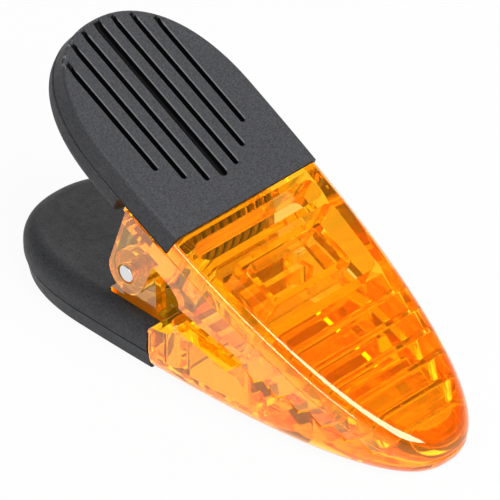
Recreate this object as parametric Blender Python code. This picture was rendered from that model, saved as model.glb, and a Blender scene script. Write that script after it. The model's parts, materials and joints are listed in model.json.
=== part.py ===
"""Spring clamp: two moulded jaws on one pivot pin, closed by a torsion spring, with soft handle grips.

Each lever is drawn in its own plan: x runs along the lever from the grip seam (nose positive),
y runs across it, and z is the depth below the lever's outer face. The lower lever lies on its
outer face. The upper lever is the same plan turned over about the pin.
"""

import bpy
import bmesh
from math import asin, atan2, ceil, copysign, cos, floor, hypot, pi, radians, sin, tan
from mathutils import Vector

MM = 0.001

# Plan of a lever, measured from the seam between grip and jaw
HANDLE_LENGTH = 44.2 * MM
NOSE_LENGTH = 58.0 * MM
LEVER_WIDTH = 36.2 * MM
WIDEST_BEHIND_SEAM = 18.2 * MM
BACK_ROUNDNESS = 2.26
NOSE_ROUNDNESS = 2.5

# Cap of a jaw with its rounded edge, and the drafted skirt that stands out a little under it
EDGE_WIDTH = 2.6 * MM
EDGE_DEPTH = 3.6 * MM
CAP_INSET = 0.15 * MM
CAP_DEPTH = 4.1 * MM
DRAFT_ANGLE = radians(2.2)

# Pivot
PIN_BEHIND_SEAM = 5.35 * MM
PIN_DEPTH = 18.2 * MM
PIN_DIAMETER = 3.4 * MM
PIN_CHAMFER = 0.25 * MM
WEDGE_ANGLE = radians(27.0)

# Fits between pieces
CLEARANCE = 0.3 * MM
PARTING_GAP = 0.4 * MM
EAR_RUNNING_GAP = 0.4 * MM

# Walls of a jaw
PLATE = 2.4 * MM
CHEEK_WALL = 3.4 * MM
SEAM_WALL = 1.7 * MM
RIB = 1.4 * MM

# Hollow of a jaw, measured forward from the seam: a cross rib and a box frame stand in it
CROSS_RIB = 6.0 * MM
FRAME_BACK = 8.7 * MM
FRAME_FRONT = 19.3 * MM
FRAME_HALF_WIDTH = 9.4 * MM
FRAME_BELOW_SHELF = 1.3 * MM
POCKET_ROUND = 1.8 * MM

# Edges of the cheeks: the arch next to the ears, and the set-back from the parting line
ARCH_FLAT_END = 1.6 * MM
ARCH_LENGTH = 5.2 * MM
ARCH_HEIGHT = 2.9 * MM
UPPER_CHEEK_SETBACK = 2.0 * MM
LOWER_CHEEK_SETBACK = 3.1 * MM
LOWER_CORNER = 1.4 * MM

# Teeth, measured along the parting line
TEETH = 6
LAST_TIP_TO_NOSE = 8.9 * MM
TOOTH_PITCH = 4.9 * MM
STEEP_FLANK = 1.75 * MM
TOOTH_HEIGHT = 1.9 * MM
TOOTH_LEAD = 1.0 * MM

# Shelf, ears and tongue that a jaw carries behind the seam
SHELF_DEPTH = 9.9 * MM
SHELF_BEHIND_EAR = 3.45 * MM
UPPER_EAR_WALL = 2.8 * MM
UPPER_EAR_RADIUS = 4.25 * MM
UPPER_EAR_SLANT = 1.2 * MM
LOWER_EAR_WALL = 2.4 * MM
TONGUE_INSET = 6.0 * MM

# Grip
PAD_THICKNESS = 4.1 * MM
PAD_INSET = 0.2 * MM
RIM_WIDTH = 1.4 * MM
RIM_DEPTH = 1.9 * MM
RIM_INSET = 0.7 * MM
DISH_WIDTH = 2.6 * MM
DISH_DEPTH = 0.35 * MM
PILLOW_BELOW_SHELF = 0.6 * MM
PILLOW_WALL = 1.5 * MM
PILLOW_ROUND = 3.6 * MM
GROOVE_PITCH = 3.5 * MM
GROOVE_WIDTH = 1.1 * MM
CENTRE_GROOVE_WIDTH = 1.8 * MM
GROOVE_DEPTH = 1.2 * MM
GROOVES_EACH_SIDE = 3
GROOVE_START = 5.8 * MM
GROOVE_ARC_DROP = 7.0 * MM

# Torsion spring
WIRE = 1.4 * MM
COIL_DIAMETER = 12.0 * MM
COIL_SPACING = 0.55 * MM
SPRING_LEG = 8.6 * MM
POINTS_PER_TURN = 10
BOSS_LENGTH = 2.4 * MM
BOSS_CLEARANCE = 0.7 * MM

# Facets
NOSE_STEPS = 22
HANDLE_STEPS = 18
EDGE_STEPS = 5
CORNER_STEPS = 3
ROUND_SIDES = 28
ARCH_STEPS = 7
CUT_MARGIN = 3.0 * MM

# Sizes that follow from those above
HALF_WEDGE = WEDGE_ANGLE / 2
SEAM_GAP = CLEARANCE / 2
FRAME_DEPTH = SHELF_DEPTH - FRAME_BELOW_SHELF
PILLOW_DEPTH = SHELF_DEPTH - PILLOW_BELOW_SHELF
SOCKET_TOP = PAD_THICKNESS + CLEARANCE
SOCKET_BOTTOM = PILLOW_DEPTH - PILLOW_WALL
NOSE_REACH = (NOSE_LENGTH + PIN_BEHIND_SEAM) / cos(HALF_WEDGE)
FIRST_TIP = NOSE_REACH - LAST_TIP_TO_NOSE - TOOTH_PITCH * (TEETH - 1)
COIL_RADIUS = (COIL_DIAMETER - WIRE) / 2
BOSS_RADIUS = COIL_RADIUS - WIRE / 2 - BOSS_CLEARANCE
LOWER_EAR_RADIUS = BOSS_RADIUS + CLEARANCE
SHELF_LENGTH = PIN_BEHIND_SEAM + LOWER_EAR_RADIUS + SHELF_BEHIND_EAR
HOLE_RADIUS = PIN_DIAMETER / 2 + CLEARANCE
LEG_TO_PIN = PIN_DEPTH - SHELF_DEPTH - CLEARANCE - WIRE / 2
LEG_SLOPE = asin(LEG_TO_PIN / hypot(COIL_RADIUS, SPRING_LEG)) - atan2(COIL_RADIUS, SPRING_LEG)


def half_width(along, inset=0.0):
    """Half the lever's width at a station, for a plan outline drawn in by inset."""
    centre = -WIDEST_BEHIND_SEAM
    if along < centre:
        reach = HANDLE_LENGTH - WIDEST_BEHIND_SEAM - inset
        power = BACK_ROUNDNESS
    else:
        reach = NOSE_LENGTH + WIDEST_BEHIND_SEAM - inset
        power = NOSE_ROUNDNESS
    share = min(1.0, abs(along - centre) / reach)
    return (LEVER_WIDTH / 2 - inset) * (1.0 - share ** power) ** (1.0 / power)


def skirt_inset(depth):
    """How far the skirt's draft draws it in at a depth."""
    return (depth - CAP_DEPTH) * tan(DRAFT_ANGLE)


UPPER_EAR_FACE = half_width(-PIN_BEHIND_SEAM, skirt_inset(PIN_DEPTH))
LOWER_EAR_FACE = UPPER_EAR_FACE - UPPER_EAR_WALL - EAR_RUNNING_GAP
COIL_SPAN = 2 * (LOWER_EAR_FACE - LOWER_EAR_WALL - CLEARANCE) - WIRE


def from_pin(along, across, depth):
    """A point of a lever's plan, measured from the pin so that it turns about the joint."""
    return Vector((along + PIN_BEHIND_SEAM, across, depth - PIN_DEPTH))


def parting_point(distance, below, side):
    """Plan station and depth of a point on the parting line.

    distance runs from the pin along the line that halves the wedge. below is how far the
    point lies towards the lower lever, and side is 1 on the upper lever and -1 on the lower.
    """
    off = side * below
    along = -PIN_BEHIND_SEAM + distance * cos(HALF_WEDGE) + off * sin(HALF_WEDGE)
    depth = PIN_DEPTH - distance * sin(HALF_WEDGE) + off * cos(HALF_WEDGE)
    return along, depth


def lever_ring(start, end, inset, depth, steps):
    """Points round one end of a lever, from its straight start on one side to the other."""
    tip = end - copysign(inset, end)
    side = []
    for step in range(steps):
        along = start + (tip - start) * sin(pi / 2 * step / steps)
        side.append((along, half_width(along, inset)))
    ring = side + [(tip, 0.0)] + [(along, -width) for along, width in reversed(side)]
    return [from_pin(along, across, depth) for along, across in ring]


def edge_turns(steps=EDGE_STEPS):
    """Angles through a quarter round, from level to upright."""
    return [pi / 2 * step / steps for step in range(steps + 1)]


def edge_ring(turn, inset, width, depth):
    """Inset and depth of a rounded outer edge at one angle."""
    return inset + width * (1 - sin(turn)), depth * (1 - cos(turn))


def mesh_object(name, rings, flat_front=False):
    """A closed solid lofted through rings of equally many points, with flat end caps.

    With flat_front, the first and last points of all rings lie in one plane, closed by one face.
    """
    mesh = bpy.data.meshes.new(name)
    shell = bmesh.new()
    loops = [[shell.verts.new(point) for point in ring] for ring in rings]
    count = len(rings[0])
    for low, high in zip(loops, loops[1:]):
        for index in range(count - 1 if flat_front else count):
            after = (index + 1) % count
            shell.faces.new((low[index], low[after], high[after], high[index]))
    if flat_front:
        shell.faces.new([loop[0] for loop in loops] + [loop[-1] for loop in reversed(loops)])
    shell.faces.new(reversed(loops[0]))
    shell.faces.new(loops[-1])
    if shell.calc_volume(signed=True) < 0:
        bmesh.ops.reverse_faces(shell, faces=shell.faces)
    shell.to_mesh(mesh)
    shell.free()
    thing = bpy.data.objects.new(name, mesh)
    bpy.context.collection.objects.link(thing)
    return thing


def side_prism(name, profile, left, right):
    """A side profile of stations and depths, extruded across the lever."""
    rings = []
    for across in (left, right):
        rings.append([from_pin(along, across, depth) for along, depth in profile])
    return mesh_object(name, rings)


def plan_prism(name, outline, top, bottom):
    """A plan outline extruded from one depth to another."""
    rings = []
    for depth in (top, bottom):
        rings.append([from_pin(along, across, depth) for along, across in outline])
    return mesh_object(name, rings)


def rectangle(back, front, half):
    """Plan outline of a straight-sided block."""
    return [(back, -half), (front, -half), (front, half), (back, half)]


def pocket_outline(back, front, steps):
    """Plan outline of a pocket between two stations, along the cheeks and with round corners."""
    corner = POCKET_ROUND
    ends = [(corner * (1 - cos(turn)), corner * (1 - sin(turn))) for turn in edge_turns(CORNER_STEPS)]
    straight = front - back - 2 * corner
    stations = [(back + forward, drawn_in) for forward, drawn_in in ends]
    for step in range(1, steps):
        stations.append((back + corner + straight * step / steps, 0.0))
    stations += [(front - forward, drawn_in) for forward, drawn_in in reversed(ends)]
    side = [(along, half_width(along, CHEEK_WALL) - drawn_in) for along, drawn_in in stations]
    return [(along, -across) for along, across in side] + list(reversed(side))


def cylinder_across(name, radius, left, right):
    """A round bar on the pin's axis."""
    rings = []
    for across in (left, right):
        ring = []
        for side in range(ROUND_SIDES):
            turn = 2 * pi * side / ROUND_SIDES
            ring.append(Vector((radius * cos(turn), across, radius * sin(turn))))
        rings.append(ring)
    return mesh_object(name, rings)


def combine(target, tool, operation):
    """Add a tool to a piece, cut it out, or keep what both share, and put the tool away."""
    step = target.modifiers.new(operation, "BOOLEAN")
    step.operation = operation
    step.solver = "EXACT"
    step.object = tool
    graph = bpy.context.evaluated_depsgraph_get()
    result = bpy.data.meshes.new_from_object(target.evaluated_get(graph))
    target.modifiers.clear()
    target.data = result
    bpy.data.objects.remove(tool)


def add(target, tool):
    combine(target, tool, "UNION")


def cut(target, tool):
    combine(target, tool, "DIFFERENCE")


def tooth_line():
    """Distances along the parting line and offsets below it, from the first valley to the tip."""
    half = TOOTH_HEIGHT / 2
    line = [(FIRST_TIP - TOOTH_PITCH + STEEP_FLANK, -half)]
    for tooth in range(TEETH):
        tip = FIRST_TIP + TOOTH_PITCH * tooth
        line.append((tip, half))
        line.append((tip + STEEP_FLANK, -half))
    line[-1] = (tip + STEEP_FLANK / 2, 0.0)
    line.append((NOSE_REACH + CUT_MARGIN, 0.0))
    return line


def arch_line():
    """Stations and depths of the cheek's arch, from its flat crown down to the cheek's corner."""
    line = []
    for step in range(ARCH_STEPS + 1):
        turn = pi / 2 * step / ARCH_STEPS
        depth = SHELF_DEPTH + ARCH_HEIGHT * (1 - cos(turn))
        line.append((ARCH_FLAT_END + ARCH_LENGTH * sin(turn), depth))
    return line


def bite_line(side, setback):
    """Stations and depths from the cheek's corner along its edge and the teeth to past the nose."""
    teeth = [(distance, below - side * PARTING_GAP / 2) for distance, below in tooth_line()]
    cheek_front = teeth[0][0] - TOOTH_LEAD
    if side < 0:
        cheek_front -= STEEP_FLANK
    edge = [(cheek_front, -side * setback)] + teeth
    return [parting_point(distance, below, side) for distance, below in edge]


def ear_line(radius):
    """Stations and depths round an ear's end, from its back edge to its front edge."""
    line = []
    for step in range(ROUND_SIDES // 2 + 1):
        turn = pi - 2 * pi * step / ROUND_SIDES
        line.append((-PIN_BEHIND_SEAM + radius * cos(turn), PIN_DEPTH + radius * sin(turn)))
    return line


def corner_line():
    """Stations and depths of the round corner beside the lower grip."""
    line = []
    for turn in edge_turns():
        along = SEAM_GAP + LOWER_CORNER * (1 - cos(turn))
        line.append((along, SHELF_DEPTH - LOWER_CORNER * (1 - sin(turn))))
    return line


def jaw_body(name, start, inner_line):
    """The lever's skin from a station to the nose, kept between its outer face and an inner line."""
    rings = [edge_ring(turn, CAP_INSET, EDGE_WIDTH, EDGE_DEPTH) for turn in edge_turns()]
    rings.append((CAP_INSET, CAP_DEPTH - CAP_INSET))
    rings.append((0.0, CAP_DEPTH))
    deep = PIN_DEPTH + UPPER_EAR_RADIUS + CUT_MARGIN
    rings.append((skirt_inset(deep), deep))
    loops = []
    for inset, depth in rings:
        loops.append(lever_ring(start, NOSE_LENGTH, inset, depth, NOSE_STEPS))
    body = mesh_object(name, loops, flat_front=True)
    end = inner_line[-1][0]
    outline = [(SEAM_GAP, -CUT_MARGIN)] + inner_line + [(end, -CUT_MARGIN)]
    profile = side_prism("profile", outline, -LEVER_WIDTH, LEVER_WIDTH)
    combine(body, profile, "INTERSECT")
    return body


def hollow_out(body):
    """Cut the hollow behind the teeth, leaving the plate, the cheeks, a cross rib and a box frame."""
    deep = PIN_DEPTH + CUT_MARGIN
    front_end = parting_point(*tooth_line()[0], 1)[0]
    front_outline = pocket_outline(CROSS_RIB + RIB, front_end, NOSE_STEPS // 2)
    front_room = plan_prism("front_room", front_outline, PLATE, deep)
    frame = plan_prism("frame", rectangle(FRAME_BACK, FRAME_FRONT, FRAME_HALF_WIDTH), 0.0, FRAME_DEPTH)
    window = rectangle(FRAME_BACK + RIB, FRAME_FRONT - RIB, FRAME_HALF_WIDTH - RIB)
    cut(frame, plan_prism("window", window, PLATE, deep))
    cut(front_room, frame)
    cut(body, front_room)
    back_outline = pocket_outline(SEAM_GAP + SEAM_WALL, CROSS_RIB, 1)
    cut(body, plan_prism("back_room", back_outline, PLATE, deep))
    relief = rectangle(CROSS_RIB - RIB, CROSS_RIB + 2 * RIB, LOWER_EAR_FACE)
    cut(body, plan_prism("rib_relief", relief, SHELF_DEPTH, deep))


def tongue_block(name, inset, top, bottom):
    """A flat tongue that follows the handle's outline, starting inside the shelf."""
    start = -SHELF_LENGTH + CUT_MARGIN
    rings = []
    for depth in (top, bottom):
        rings.append(lever_ring(start, -HANDLE_LENGTH, inset, depth, HANDLE_STEPS // 2))
    return mesh_object(name, rings, flat_front=True)


def shelf(half):
    """The block behind the seam that stands under the grip and carries the spring's leg."""
    outline = rectangle(-SHELF_LENGTH, SEAM_GAP + SEAM_WALL / 2, half)
    return plan_prism("shelf", outline, SOCKET_TOP, SHELF_DEPTH)


def tongue():
    """The flat tongue inside the grip."""
    return tongue_block("tongue", TONGUE_INSET, SOCKET_TOP + CLEARANCE, SOCKET_BOTTOM - CLEARANCE)


def pin_hole():
    """The cutter for the pin's holes."""
    return cylinder_across("pin_hole", HOLE_RADIUS, -LEVER_WIDTH, LEVER_WIDTH)


def make_upper_jaw():
    """The jaw whose side walls run back past the seam and down as the outer ears."""
    ear_top = -PIN_BEHIND_SEAM - UPPER_EAR_RADIUS - UPPER_EAR_SLANT
    ear = [(SEAM_GAP, SOCKET_TOP), (ear_top, SOCKET_TOP)] + ear_line(UPPER_EAR_RADIUS)
    crown = [(-PIN_BEHIND_SEAM + UPPER_EAR_RADIUS, SHELF_DEPTH)] + arch_line()
    jaw = jaw_body("upper_jaw", -SHELF_LENGTH, ear + crown + bite_line(1, UPPER_CHEEK_SETBACK))
    inner = UPPER_EAR_FACE - UPPER_EAR_WALL
    between = rectangle(-SHELF_LENGTH, SEAM_GAP, inner)
    cut(jaw, plan_prism("between_ears", between, SHELF_DEPTH, PIN_DEPTH + UPPER_EAR_RADIUS + CUT_MARGIN))
    add(jaw, shelf(inner))
    add(jaw, tongue())
    hollow_out(jaw)
    cut(jaw, pin_hole())
    return jaw


def make_lower_jaw():
    """The jaw with the inner ears, which stand on a shelf of their width."""
    inner_line = corner_line() + arch_line() + bite_line(-1, LOWER_CHEEK_SETBACK)
    jaw = jaw_body("lower_jaw", SEAM_GAP, inner_line)
    add(jaw, shelf(LOWER_EAR_FACE))
    add(jaw, tongue())
    hollow_out(jaw)
    root = SHELF_DEPTH - PLATE / 2
    round_end = ear_line(LOWER_EAR_RADIUS)
    ear = [(round_end[0][0], root)] + round_end + [(round_end[-1][0], root)]
    for hand in (-1, 1):
        outer = hand * LOWER_EAR_FACE
        inner = outer - hand * LOWER_EAR_WALL
        add(jaw, side_prism("ear", ear, inner, outer))
        add(jaw, cylinder_across("boss", BOSS_RADIUS, (inner + outer) / 2, inner - hand * BOSS_LENGTH))
    cut(jaw, pin_hole())
    return jaw


def rim_ring(turn):
    """Inset and depth of the pad's rounded rim at one angle."""
    return edge_ring(turn, RIM_INSET, RIM_WIDTH, RIM_DEPTH)


def grip_rings():
    """Inset and depth of each ring of a grip: dished pad, its rim and side, and the pillow under it."""
    rings = [(RIM_INSET + RIM_WIDTH + DISH_WIDTH, DISH_DEPTH)]
    rings += [rim_ring(turn) for turn in edge_turns()]
    rings.append((PAD_INSET, PAD_THICKNESS - PAD_INSET))
    rings.append((0.0, PAD_THICKNESS))
    for turn in edge_turns():
        inset = PILLOW_ROUND * (1 - cos(turn))
        rings.append((inset, PILLOW_DEPTH - PILLOW_ROUND * (1 - sin(turn))))
    return rings


def rim_station(across, inset):
    """Station where the handle's back outline, drawn in by inset, lies this far across."""
    reach = HANDLE_LENGTH - WIDEST_BEHIND_SEAM - inset
    share = abs(across) / (LEVER_WIDTH / 2 - inset)
    return -WIDEST_BEHIND_SEAM - reach * (1 - share ** BACK_ROUNDNESS) ** (1 / BACK_ROUNDNESS)


def groove(name, across, start, width):
    """A lengthwise groove of the pad: round at its front, and following the rim over the back edge."""
    radius = width / 2
    stations = []
    for turn in edge_turns()[1:]:
        stations.append((-start - radius * (1 - sin(turn)), DISH_DEPTH + GROOVE_DEPTH, radius * sin(turn)))
    for turn in edge_turns():
        inset, depth = rim_ring(turn)
        along = rim_station(across, inset) + GROOVE_DEPTH * sin(turn)
        stations.append((along, depth + GROOVE_DEPTH * cos(turn), radius))
    stations.append((-HANDLE_LENGTH - CUT_MARGIN, RIM_DEPTH, radius))
    rings = []
    for along, floor, half in stations:
        section = ((-half, -CUT_MARGIN), (half, -CUT_MARGIN), (half, floor), (-half, floor))
        rings.append([from_pin(along, across + side, depth) for side, depth in section])
    return mesh_object(name, rings)


def make_grip(name, notch_half_width):
    """One grip: a grooved pad over a pillow, notched for the shelf and hollow for the tongue."""
    loops = []
    for inset, depth in grip_rings():
        loops.append(lever_ring(-SEAM_GAP, -HANDLE_LENGTH, inset, depth, HANDLE_STEPS))
    grip = mesh_object(name, loops, flat_front=True)
    notch = rectangle(-SHELF_LENGTH - CLEARANCE, CUT_MARGIN, notch_half_width)
    cut(grip, plan_prism("notch", notch, PAD_THICKNESS, PILLOW_DEPTH + CUT_MARGIN))
    cut(grip, tongue_block("socket", TONGUE_INSET - CLEARANCE, SOCKET_TOP, SOCKET_BOTTOM))
    outermost = GROOVE_PITCH * GROOVES_EACH_SIDE
    for count in range(-GROOVES_EACH_SIDE, GROOVES_EACH_SIDE + 1):
        across = GROOVE_PITCH * count
        start = GROOVE_START + GROOVE_ARC_DROP * (across / outermost) ** 2
        width = GROOVE_WIDTH if count else CENTRE_GROOVE_WIDTH
        cut(grip, groove("groove", across, start, width))
    return grip


def make_upper_grip():
    """The grip of the upper lever, open across its whole width above the shelf."""
    return make_grip("upper_grip", LEVER_WIDTH)


def make_lower_grip():
    """The grip of the lower lever, whose pillow runs forward on both sides of the shelf."""
    return make_grip("lower_grip", LOWER_EAR_FACE + CLEARANCE)


def make_pin():
    """The pivot pin, flush with the outer ears, its ends broken by a small chamfer."""
    radius = PIN_DIAMETER / 2
    rings = []
    for across, ring_radius in (
        (-UPPER_EAR_FACE, radius - PIN_CHAMFER),
        (-UPPER_EAR_FACE + PIN_CHAMFER, radius),
        (UPPER_EAR_FACE - PIN_CHAMFER, radius),
        (UPPER_EAR_FACE, radius - PIN_CHAMFER),
    ):
        ring = []
        for side in range(ROUND_SIDES):
            turn = 2 * pi * side / ROUND_SIDES
            ring.append(Vector((ring_radius * cos(turn), across, ring_radius * sin(turn))))
        rings.append(ring)
    return mesh_object("pivot_pin", rings)


def spring_points():
    """Middle line of the spring wire, from the lower leg's end through the coil to the upper leg's.

    Each leg leaves the coil straight on and slopes to the shelf of its lever, so the coil's last
    part turn ends where the upper leg's slope starts.
    """
    first = LEG_SLOPE - pi / 2
    part_turn = (pi - WEDGE_ANGLE - 2 * LEG_SLOPE) / (2 * pi)
    whole_turns = floor(COIL_SPAN / (WIRE + COIL_SPACING) - part_turn)
    last = first + 2 * pi * (whole_turns + part_turn)
    steps = ceil(POINTS_PER_TURN * (last - first) / (2 * pi))
    coil = []
    for step in range(steps + 1):
        share = step / steps
        turn = first + (last - first) * share
        across = COIL_SPAN * (share - 0.5)
        coil.append(Vector((COIL_RADIUS * cos(turn), across, COIL_RADIUS * sin(turn))))
    lower_leg = Vector((sin(first), 0.0, -cos(first))) * SPRING_LEG
    upper_leg = Vector((-sin(last), 0.0, cos(last))) * SPRING_LEG
    return [coil[0] + lower_leg] + coil + [coil[-1] + upper_leg]


def least_gap(points):
    """Least space between turns of the wire, measured on its points."""
    apart = POINTS_PER_TURN // 2
    least = min(
        (points[later] - points[earlier]).length
        for earlier in range(len(points))
        for later in range(earlier + apart, len(points))
    )
    return least - WIRE


def make_spring():
    """The torsion spring as one unbroken wire."""
    points = spring_points()
    curve = bpy.data.curves.new("torsion_spring", "CURVE")
    curve.dimensions = "3D"
    curve.bevel_depth = WIRE / 2
    curve.bevel_resolution = 1
    curve.use_fill_caps = True
    spline = curve.splines.new("POLY")
    spline.points.add(len(points) - 1)
    for slot, point in zip(spline.points, points):
        slot.co = (*point, 1.0)
    spring = bpy.data.objects.new("torsion_spring", curve)
    bpy.context.collection.objects.link(spring)
    print("least gap between turns of the spring: %.2f mm" % (least_gap(points) / MM))
    return spring


def material(name, colour, roughness, metallic, transmission=0.0):
    """A plain finish for one sub-part."""
    finish = bpy.data.materials.new(name)
    finish.use_nodes = True
    shader = finish.node_tree.nodes["Principled BSDF"]
    shader.inputs["Base Color"].default_value = (*colour, 1.0)
    shader.inputs["Roughness"].default_value = roughness
    shader.inputs["Metallic"].default_value = metallic
    shader.inputs["Transmission Weight"].default_value = transmission
    return finish


def dress(thing, finish):
    """Give a piece its finish, and smooth shading away from its sharp edges."""
    thing.data.materials.clear()
    thing.data.materials.append(finish)
    if thing.type == "MESH":
        thing.data.shade_smooth()
        thing.data.set_sharp_from_angle(angle=radians(30.0))


def empty(name, parent=None):
    """A carrier for pieces that move together."""
    carrier = bpy.data.objects.new(name, None)
    carrier.parent = parent
    bpy.context.collection.objects.link(carrier)
    return carrier


def centre_on_floor(root, pieces):
    """Move the clamp so that its box stands centred on the origin."""
    bpy.context.view_layer.update()
    graph = bpy.context.evaluated_depsgraph_get()
    corners = []
    for piece in pieces:
        solid = piece.evaluated_get(graph)
        shape = solid.to_mesh()
        corners += [solid.matrix_world @ vertex.co for vertex in shape.vertices]
        solid.to_mesh_clear()
    low = [min(corner[axis] for corner in corners) for axis in range(3)]
    high = [max(corner[axis] for corner in corners) for axis in range(3)]
    root.location.x -= (low[0] + high[0]) / 2
    root.location.y -= (low[1] + high[1]) / 2
    root.location.z -= low[2]
    bpy.context.view_layer.update()


def build():
    """Make every piece and hang the two levers on the pivot."""
    for thing in list(bpy.data.objects):
        bpy.data.objects.remove(thing)
    orange = (1.0, 0.30, 0.01)
    black = (0.045, 0.045, 0.048)
    steel = (0.62, 0.62, 0.63)
    root = empty("spring_clamp")
    lower = empty("lower_lever", root)
    lower.location = (0.0, 0.0, PIN_DEPTH)
    upper = empty("upper_lever", root)
    upper.location = (0.0, 0.0, PIN_DEPTH)
    upper.rotation_euler = (pi, WEDGE_ANGLE, 0.0)
    pieces = (
        (make_lower_jaw(), lower, material("lower_jaw_plastic", orange, 0.08, 0.0, 0.8)),
        (make_lower_grip(), lower, material("lower_grip_rubber", black, 0.6, 0.0)),
        (make_spring(), lower, material("spring_steel", steel, 0.25, 1.0)),
        (make_upper_jaw(), upper, material("upper_jaw_plastic", orange, 0.08, 0.0, 0.8)),
        (make_upper_grip(), upper, material("upper_grip_rubber", black, 0.6, 0.0)),
        (make_pin(), upper, material("pin_steel", steel, 0.2, 1.0)),
    )
    for piece, carrier, finish in pieces:
        piece.parent = carrier
        dress(piece, finish)
    centre_on_floor(root, [piece for piece, carrier, finish in pieces])
    place = lower.matrix_world.translation / MM
    print("pivot at %.3f, %.3f, %.3f mm" % tuple(place))


build()
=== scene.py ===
"""Looks of a spring clamp: fine meshes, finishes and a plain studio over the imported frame.

Each lever is drawn in its own plan, measured from the pin: x runs along the lever towards the
nose, y runs across it, and z is the depth below the lever's outer face. The lower lever lies on
its outer face, and the upper lever is the same plan turned over about the pin.
"""

import json
from math import asin, atan2, ceil, copysign, cos, hypot, pi, radians, sin, tan

import bmesh
import bpy
from bpy.props import FloatProperty, FloatVectorProperty, IntProperty, PointerProperty
from bpy.types import Operator, Panel, PropertyGroup
from mathutils import Euler, Matrix, Vector

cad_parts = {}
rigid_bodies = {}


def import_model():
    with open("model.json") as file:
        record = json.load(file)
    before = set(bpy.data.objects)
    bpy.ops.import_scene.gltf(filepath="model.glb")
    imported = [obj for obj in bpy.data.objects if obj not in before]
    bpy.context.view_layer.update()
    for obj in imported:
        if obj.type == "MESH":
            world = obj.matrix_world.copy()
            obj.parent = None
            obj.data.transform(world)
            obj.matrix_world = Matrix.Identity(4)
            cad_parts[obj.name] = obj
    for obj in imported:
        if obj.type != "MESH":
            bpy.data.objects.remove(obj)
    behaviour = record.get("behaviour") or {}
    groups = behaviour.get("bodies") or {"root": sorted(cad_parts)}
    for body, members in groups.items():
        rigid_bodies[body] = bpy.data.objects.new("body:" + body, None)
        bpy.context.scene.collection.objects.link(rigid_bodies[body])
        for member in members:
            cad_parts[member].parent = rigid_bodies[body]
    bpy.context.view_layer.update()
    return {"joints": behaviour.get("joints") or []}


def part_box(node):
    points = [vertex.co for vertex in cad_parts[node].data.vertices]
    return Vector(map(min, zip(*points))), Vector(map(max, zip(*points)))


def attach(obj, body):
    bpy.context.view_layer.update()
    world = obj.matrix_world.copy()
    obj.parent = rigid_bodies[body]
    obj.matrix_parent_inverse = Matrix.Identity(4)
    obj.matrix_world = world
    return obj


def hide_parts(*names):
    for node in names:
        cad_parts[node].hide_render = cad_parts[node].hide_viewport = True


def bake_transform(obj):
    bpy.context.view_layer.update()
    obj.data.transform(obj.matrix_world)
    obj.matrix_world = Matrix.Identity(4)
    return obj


bl_info = {
    "name": "Spring Clamp",
    "version": (1, 0, 0),
    "blender": (4, 5, 0),
    "location": "View3D > Sidebar > Clamp",
    "description": "Makes a clear-jawed spring clamp with soft black grips, and a studio to show it in",
    "category": "Add Mesh",
}

for thing in list(bpy.data.objects):
    bpy.data.objects.remove(thing)
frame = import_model()

# Places that the frame gives, and the small lengths that are measured from them
PIVOT = Vector(frame["joints"][0]["pos_m"])
GRIP_LOW, GRIP_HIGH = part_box("lower_grip")
PIN_LOW, PIN_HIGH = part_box("pivot_pin")
SPRING_LOW, SPRING_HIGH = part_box("torsion_spring")
SEAM_GAP = 0.00015
SEAM_X = GRIP_HIGH.x + SEAM_GAP
INNER_EAR_STEP = 0.0032
INNER_EAR_FACE = PIN_HIGH.y - INNER_EAR_STEP
WIRE = 0.0014
COIL_SPAN = SPRING_HIGH.y - SPRING_LOW.y - WIRE

# Fineness of the meshes, and limits for their cuts and curves
OUTLINE_STEPS = 72
EDGE_STEPS = 10
ROUND_SIDES = 64
ARCH_STEPS = 14
EASE_STEPS = 4
EASE_LIMIT = 0.45
SMOOTH_TURN = radians(160.0)
SHARP_ANGLE = radians(32.0)
CUT_MARGIN = 0.003

# Grooves: how late they rise to the rim, what counts as a wall or a lip, and the material slots of the
# painted shade in them and the painted highlight on their lips
GROOVE_FADE = 4
WALL_SLOPE = 0.7
WALL_REACH = 0.25
LIP_SLOPE = 0.1
PAINTED_SHADE_SLOT = 1
PAINTED_HIGHLIGHT_SLOT = 2

# Grains: scale per metre, and the lowest and highest roughness
POLISH_GRAIN = (220.0, 0.0, 0.03)
TOUCH_GRAIN = (700.0, 0.5, 0.62)
MATT_GRAIN = (700.0, 0.7, 0.9)

# Steel's grain: scale per metre, and the share by which the roughness varies either way
STEEL_SCALE = 1800.0
STEEL_SPREAD = 0.3

# Surfaces
RUBBER_SHINE = 0.3
GROOVE_SHINE = 0.1
GRIP_RELIEF = 0.35
GRIP_RELIEF_HEIGHT = 0.00008
PIN_ROUGHNESS = 0.22
WIRE_ROUGHNESS = 0.38
CLEAR_BOUNCES = 32

# Sockets of a Mix node that mixes colours
MIX_FIRST, MIX_SECOND, MIX_RESULT = 6, 7, 2

# Stage
WHITE = (1.0, 1.0, 1.0, 1.0)
FLOOR_TONE = (0.6, 0.6, 0.6, 1.0)
FLOOR_ROUGHNESS = 0.9
FLOOR_HALF = 4.0
FLOOR_DROP = 0.0003
SWEEP_START = 0.15
SWEEP_END = 0.5
CLIP_END = 20.0

# Lights: name, place from the camera's aim, size and watts
LIGHTS = (
    ("top_soft_box", (0.50, -0.065, 0.67), (0.42, 0.56), 10.5),
    ("far_fill", (-0.52, 0.58, 0.44), (1.0, 0.8), 4.0),
    ("side_strip", (0.10, -0.82, 0.16), (0.50, 0.08), 1.4),
)


def length(name, description, default):
    """A size in metres that a user can change."""
    return FloatProperty(name=name, description=description, default=default, precision=5, unit="LENGTH")


def turn(name, description, degrees):
    """An angle that a user can change."""
    return FloatProperty(name=name, description=description, default=radians(degrees), unit="ROTATION")


def amount(name, description, default):
    """A plain number that a user can change."""
    return FloatProperty(name=name, description=description, default=default, precision=3)


def whole(name, description, default):
    """A whole number that a user can change."""
    return IntProperty(name=name, description=description, default=default)


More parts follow.
